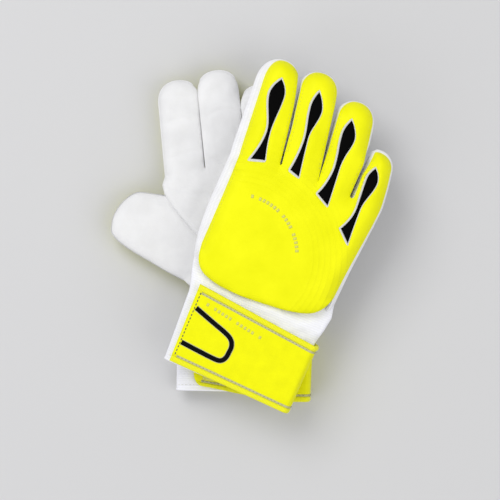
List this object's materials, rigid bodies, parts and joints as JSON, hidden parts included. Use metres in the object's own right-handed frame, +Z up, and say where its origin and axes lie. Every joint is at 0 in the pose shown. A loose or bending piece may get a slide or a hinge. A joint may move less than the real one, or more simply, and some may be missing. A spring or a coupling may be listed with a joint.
{
  "type": "goalkeeper gloves",
  "caption": "Goalkeeper gloves with foam backs, latex palms and wrist straps, one lying palm up and the other crossed over it, back up, with its thumb tucked under.",
  "frame": {"origin": "on the ground under the middle of the pair's outline", "axes": "+X to the little-finger side of the lower glove, +Y along the lower glove from wrist to fingertips, +Z up"},
  "size_m": [0.2132, 0.2694, 0.0643],
  "materials": {
    "white_latex": "matte foamed latex",
    "yellow_foam": "smooth embossed foam laminate",
    "black_inset": "matte woven inset",
    "white_gusset": "fine knitted mesh",
    "white_elastic": "ribbed elastic",
    "yellow_strap": "smooth laminate strap",
    "yellow_binding": "ribbed binding tape",
    "grey_loop": "brushed loop pile",
    "dark_hook": "hook tape",
    "black_print": "raised rubber print"
  },
  "bodies": {
    "left_hand": {"left_back_panel": "yellow_foam", "left_cuff": "white_elastic", "left_hand_edge": "white_gusset", "left_loop_patch": "grey_loop", "left_palm_panel": "white_latex", "left_strap_base": "yellow_strap"},
    "left_index": {"left_index_back": "yellow_foam", "left_index_gusset": "white_gusset", "left_index_insert": "black_inset", "left_index_palm": "white_latex"},
    "left_middle": {"left_middle_back": "yellow_foam", "left_middle_gusset": "white_gusset", "left_middle_insert": "black_inset", "left_middle_palm": "white_latex"},
    "left_ring": {"left_ring_back": "yellow_foam", "left_ring_gusset": "white_gusset", "left_ring_insert": "black_inset", "left_ring_palm": "white_latex"},
    "left_little": {"left_little_back": "yellow_foam", "left_little_gusset": "white_gusset", "left_little_insert": "black_inset", "left_little_palm": "white_latex"},
    "left_thumb": {"left_thumb_back": "yellow_foam", "left_thumb_gusset": "white_gusset", "left_thumb_palm": "white_latex"},
    "left_strap": {"left_binding_lower": "yellow_binding", "left_binding_upper": "yellow_binding", "left_hook_patch": "dark_hook", "left_strap_flap": "yellow_strap"},
    "right_hand": {"right_back_panel": "yellow_foam", "right_cuff": "white_elastic", "right_hand_edge": "white_gusset", "right_loop_patch": "grey_loop", "right_palm_panel": "white_latex", "right_strap_base": "yellow_strap", "right_thumb_edge": "white_gusset"},
    "right_index": {"right_index_back": "yellow_foam", "right_index_gusset": "white_gusset", "right_index_insert": "black_inset", "right_index_palm": "white_latex"},
    "right_middle": {"right_middle_back": "yellow_foam", "right_middle_gusset": "white_gusset", "right_middle_insert": "black_inset", "right_middle_palm": "white_latex"},
    "right_ring": {"right_ring_back": "yellow_foam", "right_ring_gusset": "white_gusset", "right_ring_insert": "black_inset", "right_ring_palm": "white_latex"},
    "right_little": {"right_little_back": "yellow_foam", "right_little_gusset": "white_gusset", "right_little_insert": "black_inset", "right_little_palm": "white_latex"},
    "right_thumb": {"right_thumb_back": "yellow_foam", "right_thumb_gusset": "white_gusset", "right_thumb_palm": "white_latex"},
    "right_strap": {"right_binding_lower": "yellow_binding", "right_binding_upper": "yellow_binding", "right_hook_patch": "dark_hook", "right_strap_flap": "yellow_strap", "right_strap_mark": "black_print"}
  },
  "joints": [
    {"name": "right_glove_lift", "type": "slide", "parent": "left_hand", "child": "right_hand", "axis": [0, 0, 1], "range_m": [0, 0.18]},
    {"name": "left_index_curl", "type": "hinge", "parent": "left_hand", "child": "left_index", "pos_m": [-0.05312, 0.05329, 0.022], "axis": [0.9949, 0.1011, 0], "range_deg": [0, 75], "stiffness_Nm_per_rad": 0.02},
    {"name": "left_middle_curl", "type": "hinge", "parent": "left_hand", "child": "left_middle", "pos_m": [-0.02142, 0.06079, 0.022], "axis": [0.9949, 0.1011, 0], "range_deg": [0, 45], "stiffness_Nm_per_rad": 0.02},
    {"name": "left_ring_curl", "type": "hinge", "parent": "left_hand", "child": "left_ring", "pos_m": [0.00808, 0.05929, 0.022], "axis": [0.9988, 0.0488, 0], "range_deg": [0, 40], "stiffness_Nm_per_rad": 0.02},
    {"name": "left_little_curl", "type": "hinge", "parent": "left_hand", "child": "left_little", "pos_m": [0.03528, 0.04879, 0.022], "axis": [0.9999, 0.0157, 0], "range_deg": [0, 35], "stiffness_Nm_per_rad": 0.02},
    {"name": "left_thumb_fold", "type": "hinge", "parent": "left_hand", "child": "left_thumb", "pos_m": [-0.04812, -0.03321, 0.022], "axis": [-0.2716, 0.9624, 0], "range_deg": [0, 70], "stiffness_Nm_per_rad": 0.02},
    {"name": "left_strap_open", "type": "hinge", "parent": "left_hand", "child": "left_strap", "pos_m": [0.03948, -0.11861, 0.0015], "axis": [-0.0561, -0.9984, 0], "range_deg": [0, 180]},
    {"name": "right_index_curl", "type": "hinge", "parent": "right_hand", "child": "right_index", "pos_m": [0.00382, 0.06365, 0.04148], "axis": [-0.9601, 0.2795, -0.0109], "range_deg": [0, 58]},
    {"name": "right_middle_curl", "type": "hinge", "parent": "right_hand", "child": "right_middle", "pos_m": [0.03601, 0.05869, 0.04229], "axis": [-0.9601, 0.2795, -0.0109], "range_deg": [0, 58]},
    {"name": "right_ring_curl", "type": "hinge", "parent": "right_hand", "child": "right_ring", "pos_m": [0.0628, 0.04626, 0.04213], "axis": [-0.9443, 0.3291, -0.0053], "range_deg": [0, 58]},
    {"name": "right_little_curl", "type": "hinge", "parent": "right_hand", "child": "right_little", "pos_m": [0.08411, 0.02639, 0.041], "axis": [-0.9329, 0.3601, -0.0017], "range_deg": [0, 58]},
    {"name": "right_thumb_swing", "type": "hinge", "parent": "right_hand", "child": "right_thumb", "pos_m": [-0.0165, -0.00266, 0.03398], "axis": [-0.0405, -0.1001, 0.9942], "range_deg": [0, 80]},
    {"name": "right_strap_open", "type": "hinge", "parent": "right_hand", "child": "right_strap", "pos_m": [0.02483, -0.13154, 0.0433], "axis": [0.4238, 0.8993, 0.1078], "range_deg": [0, 150]}
  ],
  "couplings": [
    {"joint": "left_middle_curl", "follows": "right_glove_lift", "rad_per_m": 4.266},
    {"joint": "left_ring_curl", "follows": "right_glove_lift", "rad_per_m": 3.782},
    {"joint": "left_little_curl", "follows": "right_glove_lift", "rad_per_m": 3.297},
    {"joint": "right_index_curl", "follows": "right_glove_lift", "rad_per_m": 5.527},
    {"joint": "right_middle_curl", "follows": "right_glove_lift", "rad_per_m": 5.527},
    {"joint": "right_ring_curl", "follows": "right_glove_lift", "rad_per_m": 5.527},
    {"joint": "right_little_curl", "follows": "right_glove_lift", "rad_per_m": 5.527}
  ]
}
